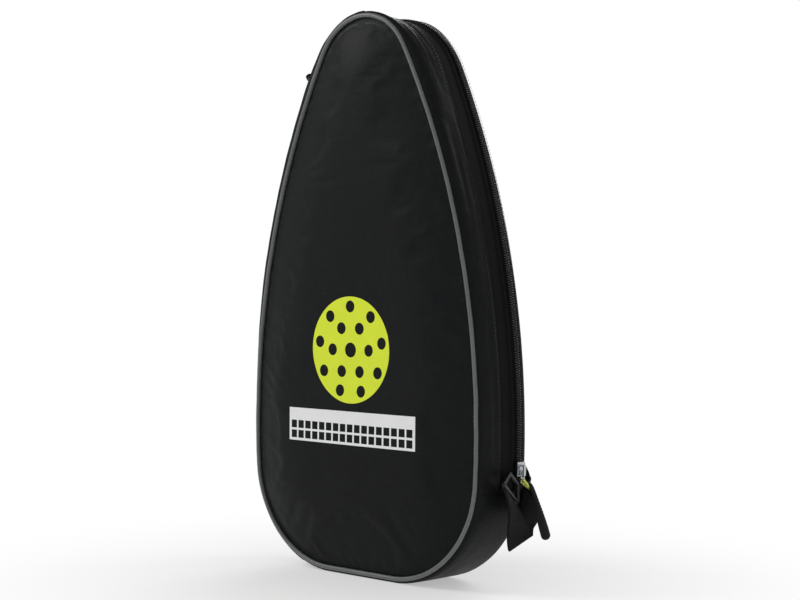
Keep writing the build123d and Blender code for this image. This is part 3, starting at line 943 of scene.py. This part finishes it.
def webbing(name, keys, width, steps=14, sway_by=0.0):
    """Flat woven strap: rounded edges, with cross ribs carried by the along attribute."""
    path = eased(keys, steps)
    section = [(-0.5, 0.0), (-0.49, 0.42), (-0.46, 0.5)]
    section += [(u, 0.5) for u in np.linspace(-0.38, 0.38, 7)]
    section += [(0.46, 0.5), (0.49, 0.42), (0.5, 0.0)]
    section += [(u, -level) for u, level in section[-2:0:-1]]
    verts, along = [], []
    run = 0.0
    for i, (point, across) in enumerate(path):
        before = path[max(i - 1, 0)][0]
        after = path[min(i + 1, len(path) - 1)][0]
        way = (after - before).normalized()
        if i:
            run += (point - before).length
        wide = across.normalized()
        thin = way.cross(wide).normalized()
        sway = noise_at(run * 0.03, 0.0, 2.0) * sway_by
        for u, level in section:
            cup = (0.25 - u * u) * 0.5 if sway_by else 0.0
            verts.append(point + wide * (u * width + sway) + thin * (level * WEBBING + cup))
            along.append((run, u * width, level))
    made = finish_mesh(name, verts, tube_faces(len(path), len(section)), RIBBED, np.array(along, float))
    fix_normals(made)
    return made


def fix_normals(made):
    """Turns every face of a closed piece outwards."""
    mesh = bmesh.new()
    mesh.from_mesh(made.data)
    bmesh.ops.recalc_face_normals(mesh, faces=mesh.faces)
    mesh.to_mesh(made.data)
    mesh.free()


LOWER_BAR = Vector((138.4, -3.5, 78.0))
LOWER_ALONG = unit(-0.268, 0.823, -0.501)
LOWER_TO_TAB = (Z - LOWER_ALONG * Z.dot(LOWER_ALONG)).normalized()
LOWER_TAB_BAR = LOWER_BAR + LOWER_TO_TAB * 12.0
UPPER_BAR = Vector((-91.0, 2.0, 412.0))
UPPER_ALONG = unit(0.69, -0.72, 0.0)
UPPER_TO_TAB = unit(0.72, 0.69, 0.0)
UPPER_TAB_BAR = UPPER_BAR + UPPER_TO_TAB * 11.0
LOOP_MIDDLE = WIRE_RADIUS + 0.4 + WEBBING / 2
SWING_LOW = Vector((112.0, 37.0, 84.0))
SWING_HIGH = Vector((-62.0, 37.0, 354.0))
RUN = (SWING_HIGH - SWING_LOW).normalized()
RUN_WIDE = Vector((RUN.z, 0, -RUN.x))
SLACK = 10.0


def shoulder_keys(fraction_low, fraction_high):
    """Stations of the resting shoulder strap between two shares of its run."""
    shares = ((0, 0), (0.06, 0.12), (0.14, 0.8), (0.2, 1), (0.35, 1), (0.5, 1), (0.65, 1), (0.8, 1))
    shares += ((0.86, 0.8), (0.94, 0.12), (1, 0))
    keys = []
    for part, out in shares:
        if fraction_low <= part <= fraction_high:
            keys.append((SWING_LOW.lerp(SWING_HIGH, part) + Y * (SLACK * out), RUN_WIDE))
    return keys


def v(x, y, z):
    return Vector((x, y, z))


def wrapped(bar, along, start, turn):
    """Stations that carry a strap round a wire, from the start side through the turn side."""
    stations = []
    for degrees in (45, 90, 135, 180, 225, 262):
        angle = math.radians(degrees)
        way = start * math.cos(angle) + turn * math.sin(angle)
        stations.append((bar + way * LOOP_MIDDLE, along))
    return stations


def build_lower_strap():
    """Goes through the lower ring, hangs in a slack fold and turns away to the back."""
    outward = unit(1, 0.3, 0)
    stations = [
        (LOWER_BAR - outward * LOOP_MIDDLE + LOWER_TO_TAB * 2.5, LOWER_ALONG),
        (LOWER_BAR - outward * LOOP_MIDDLE, LOWER_ALONG),
        (LOWER_BAR - LOWER_TO_TAB * (LOOP_MIDDLE + 0.2), LOWER_ALONG),
        (v(140, 1.3, 62), v(-0.22, 0.93, -0.25)),
        (v(141.2, 2.2, 48), v(0.05, 0.95, 0.2)),
        (v(142, 4.5, 40.2), v(0.25, 0.86, 0.44)),
        (v(140.2, 7.8, 44.2), v(0.25, 0.86, 0.44)),
        (v(140.1, 12.2, 50.5), v(0.24, 0.9, 0.36)),
        (v(139.6, 15.2, 58), v(0.18, 0.88, 0.42)),
        (v(135.4, 17.6, 66), v(0.05, 0.66, 0.75)),
        (v(130.2, 19.6, 69.5), v(0, 0.35, 0.94)),
        (v(128, 29.5, 70.5), v(0, 0.08, 0.99)),
        (v(122.5, 36, 73.5), v(0.25, 0, 0.97)),
        (v(116.5, 37, 77.5), v(0.6, 0, 0.8)),
        (SWING_LOW, RUN_WIDE),
    ]
    made = webbing("strap_lower_cloth", stations, STRAP_WIDTH)
    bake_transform(made)
    stands_for(made, "webbing", "strap_lower_end")


def build_upper_strap():
    """Comes off the back and wraps round the upper ring."""
    stations = [
        (SWING_HIGH, RUN_WIDE),
        (v(-71, 37, 368), v(0.84, 0, 0.54)),
        (v(-83, 33.5, 384), v(0.82, -0.25, 0.5)),
        (v(-90.5, 19, 397), v(0.75, -0.55, 0.3)),
        (v(-92.5, 8, 404), v(0.7, -0.7, 0.1)),
        (UPPER_BAR - Z * LOOP_MIDDLE - UPPER_TO_TAB * 0.5, UPPER_ALONG),
    ]
    stations += wrapped(UPPER_BAR, UPPER_ALONG, -Z, UPPER_TO_TAB)
    made = webbing("strap_upper_cloth", stations, STRAP_WIDTH)
    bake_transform(made)
    stands_for(made, "webbing", "strap_upper_end")


def build_shoulder_strap():
    """Two halves, each held at its own end of the back."""
    for name, span, held, free in (
        ("shoulder_strap_low", (0, 0.5), SWING_LOW, SWING_LOW.lerp(SWING_HIGH, 0.16)),
        ("shoulder_strap_high", (0.5, 1), SWING_HIGH, SWING_LOW.lerp(SWING_HIGH, 0.84)),
    ):
        made = webbing(name, shoulder_keys(*span), STRAP_WIDTH, 16, 0.4)
        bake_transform(made)
        stands_for(made, "webbing", "shoulder_strap")


def build_tabs():
    """Short loops of webbing that hold the rings, sewn to the case."""
    lower = [
        (LOWER_TAB_BAR + LOWER_TO_TAB * LOOP_MIDDLE - v(0.2, 0, 0), LOWER_ALONG),
        (v(132.4, 1.6, 87.5), v(-0.1, 0.93, -0.35)),
        (v(130.6, 1.0, 80.5), v(0, 1, 0)),
    ]
    start = UPPER_TAB_BAR + Z * LOOP_MIDDLE
    upper = [
        (start, UPPER_ALONG),
        (start + UPPER_TO_TAB * 4, UPPER_ALONG),
        (v(-77.5, 16.2, 411.8), v(0.7, -0.45, 0.55)),
        (v(-71.3, 22.5, 405.8), v(0.408, 0, 0.913)),
    ]
    for end, stations, width in (("lower", lower, LOWER_TAB_WIDTH), ("upper", upper, UPPER_TAB_WIDTH)):
        made = webbing(end + "_tab_cloth", stations, width)
        fixed(made, "webbing", end + "_strap_tab")


def build_straps():
    build_lower_strap()
    build_upper_strap()
    build_shoulder_strap()
    build_tabs()


# ---- hardware: CAD shapes with their materials ---------------------------
GRIP_NECK = Vector((136.0, 19.6, 82.4))
GRIP_TOP = Vector((137.2, 24.5, 77.5))
GRIP_TIP = Vector((138.0, 41.4, 38.2))
GRIP_ROWS = 110
GRIP_SIDES = 28


def grip_reach(run, length):
    """Radius of the grip at a distance from its neck: slim, then fuller, round at both ends."""
    full = 1.9 + 1.7 * float(ramp(run, 3, length - 6))
    top = math.sqrt(max(0.0, 1 - max(0.0, 1 - run / 1.2) ** 2))
    tip = math.sqrt(max(0.0, 1 - max(0.0, (run - length + full) / full) ** 2))
    rib = 0.16 * math.sin(run * 2.4) * float(ramp(run, 14, 17) * (1 - ramp(run, 28, 32)))
    return max(0.02, (full + rib) * min(top, tip))


def build_grip():
    """Soft moulded grip: slim neck, fuller round end, shallow finger ribs."""
    line = [p for p, _ in eased([(GRIP_NECK, X), (GRIP_TOP, X), (GRIP_TIP, X)], 60)]
    runs = [0.0]
    for before, point in zip(line, line[1:]):
        runs.append(runs[-1] + (point - before).length)
    length = runs[-1]
    grid = np.zeros((GRIP_ROWS, GRIP_SIDES, 3))
    for row in range(GRIP_ROWS):
        run = length * (1 - (1 - row / (GRIP_ROWS - 1)) ** 1.4)
        spot = min(int(np.searchsorted(runs, run, side="right")) - 1, len(line) - 2)
        part = (run - runs[spot]) / (runs[spot + 1] - runs[spot])
        centre = line[spot].lerp(line[spot + 1], part)
        way = (line[spot + 1] - line[spot]).normalized()
        side = way.cross(X).normalized()
        other = way.cross(side)
        reach = grip_reach(run, length)
        for k in range(GRIP_SIDES):
            angle = 2 * math.pi * k / GRIP_SIDES
            off = side * (math.cos(angle) * reach * 1.1) + other * (math.sin(angle) * reach)
            grid[row, k] = tuple(centre + off)
    made = finish_mesh("grip_moulding", grid.reshape(-1, 3), tube_faces(GRIP_ROWS, GRIP_SIDES), MOULDED)
    fix_normals(made)
    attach(made, "pull_grip")
    stands_for(made, "pull_grip", "pull_grip")


SOFTENED = ("slider_body", "slider_crown", "pull_tab", "strap_adjuster", "zip_end_tabs")
SOFT_WIDTH = 0.4 * MM


def soften(made):
    """Breaks the sharp edges of a cast or moulded piece."""
    modifier = made.modifiers.new("soft_edges", "BEVEL")
    modifier.width = SOFT_WIDTH
    modifier.segments = 3
    modifier.limit_method = "ANGLE"
    modifier.angle_limit = math.radians(35)
    modifier.harden_normals = True


def build_hardware():
    for name, material in (
        ("slider_body", NICKEL),
        ("slider_crown", NICKEL),
        ("pull_tab", NICKEL),
        ("pull_cord", YELLOW),
        ("lower_ring", LACQUER),
        ("upper_ring", LACQUER),
        ("strap_adjuster", MOULDED),
        ("zip_end_tabs", GUSSET_CLOTH),
    ):
        made = bpy.data.objects[name]
        wear(made, material)
        if name in SOFTENED:
            soften(made)


# ---- stage, light and camera ---------------------------------------------
AMBIENT = 0.3  # share of the white backdrop's light that reaches the case
FLOOR_HALF = 6.0
FLOOR_TONE = (0.86, 0.86, 0.86, 1)
FADE_START = 0.02  # distance from the case over which the floor turns white, in metres
FADE_END = 0.42
FADE_LEAST = 0.4
AIM = Vector((0, 0, 0.22))
LIGHTS = (
    ("key", (-1.4, -1.2, 1.5), 1.0, 24),
    ("fill", (1.9, -0.6, 0.9), 0.9, 5),
    ("rim", (0.8, 1.5, 1.7), 0.9, 10),
    ("back", (-1.0, 1.9, 1.0), 1.4, 30),
)
CAMERA_TURN = (43.56, 0.55, 0.27)  # azimuth, elevation and roll in degrees
CAMERA_TARGET = Vector((0.0436, -0.027, 0.22455))
CAMERA_DISTANCE = 1.3
CAMERA_LENS = 74.1


def fading_floor():
    """Pale floor that brightens to the white of the backdrop away from the case."""
    material, tree, shader = new_material("floor")
    link = tree.links.new
    shader.inputs["Base Color"].default_value = FLOOR_TONE
    shader.inputs["Roughness"].default_value = 0.9
    shader.inputs["Specular IOR Level"].default_value = 0.1
    place = node(tree, "ShaderNodeNewGeometry")
    length = node(tree, "ShaderNodeVectorMath", operation="LENGTH")
    link(place.outputs["Position"], length.inputs[0])
    span = {"From Min": FADE_START, "From Max": FADE_END, "To Min": FADE_LEAST}
    share = node(tree, "ShaderNodeMapRange", interpolation_type="SMOOTHSTEP", **span)
    link(length.outputs["Value"], share.inputs["Value"])
    glow = node(tree, "ShaderNodeEmission")
    mix = node(tree, "ShaderNodeMixShader")
    link(share.outputs["Result"], mix.inputs["Fac"])
    link(shader.outputs["BSDF"], mix.inputs[1])
    link(glow.outputs["Emission"], mix.inputs[2])
    link(mix.outputs["Shader"], tree.nodes["Material Output"].inputs["Surface"])
    return material


def studio_world():
    """White backdrop to the camera, softer light from it on the case."""
    world = bpy.data.worlds.new("studio")
    world.use_nodes = True
    tree = world.node_tree
    path = node(tree, "ShaderNodeLightPath")
    strength = node(tree, "ShaderNodeMapRange", **{"To Min": AMBIENT, "To Max": 1.0})
    tree.links.new(path.outputs["Is Camera Ray"], strength.inputs["Value"])
    background = tree.nodes["Background"]
    background.inputs["Color"].default_value = (1, 1, 1, 1)
    tree.links.new(strength.outputs["Result"], background.inputs["Strength"])
    return world


def build_stage():
    mesh = bpy.data.meshes.new("floor")
    corners = [(x * FLOOR_HALF, y * FLOOR_HALF, 0) for x, y in ((-1, -1), (1, -1), (1, 1), (-1, 1))]
    mesh.from_pydata(corners, [], [(0, 1, 2, 3)])
    mesh.materials.append(fading_floor())
    add_object("floor", mesh)
    bpy.context.scene.world = studio_world()
    bpy.context.scene.view_settings.view_transform = "Standard"
    for light in LIGHTS:
        add_light(*light)


def add_light(name, where, size, power):
    data = bpy.data.lights.new(name, "AREA")
    data.size = size
    data.energy = power
    lamp = add_object(name, data)
    lamp.location = where
    lamp.rotation_euler = (AIM - Vector(where)).to_track_quat("-Z", "Y").to_euler()


def build_camera():
    azimuth, elevation, roll = (math.radians(a) for a in CAMERA_TURN)
    back = Vector((
        math.sin(azimuth) * math.cos(elevation),
        -math.cos(azimuth) * math.cos(elevation),
        math.sin(elevation),
    ))
    right = Vector((math.cos(azimuth), math.sin(azimuth), 0))
    up = back.cross(right)
    rolled_right = right * math.cos(roll) + up * math.sin(roll)
    rolled_up = up * math.cos(roll) - right * math.sin(roll)
    data = bpy.data.cameras.new("camera")
    data.lens = CAMERA_LENS
    data.sensor_width = 36
    camera = add_object("camera", data)
    turn = Matrix((rolled_right, rolled_up, back)).transposed().to_4x4()
    camera.matrix_world = Matrix.Translation(CAMERA_TARGET + back * CAMERA_DISTANCE) @ turn
    bpy.context.scene.camera = camera


build_panels()
build_front_gusset()
build_rear_gusset()
build_base_gusset()
build_tapes()
build_coils()
build_piping()
build_prints()
build_straps()
build_hardware()
build_grip()
stitch_row("strip_edge_stitches", STRIP_Y - 1.8, 0.25)
stitch_row("rear_edge_stitches", REAR_Y + 1.6, 0.2, 0.5, 20.0, False)
build_stage()
build_camera()
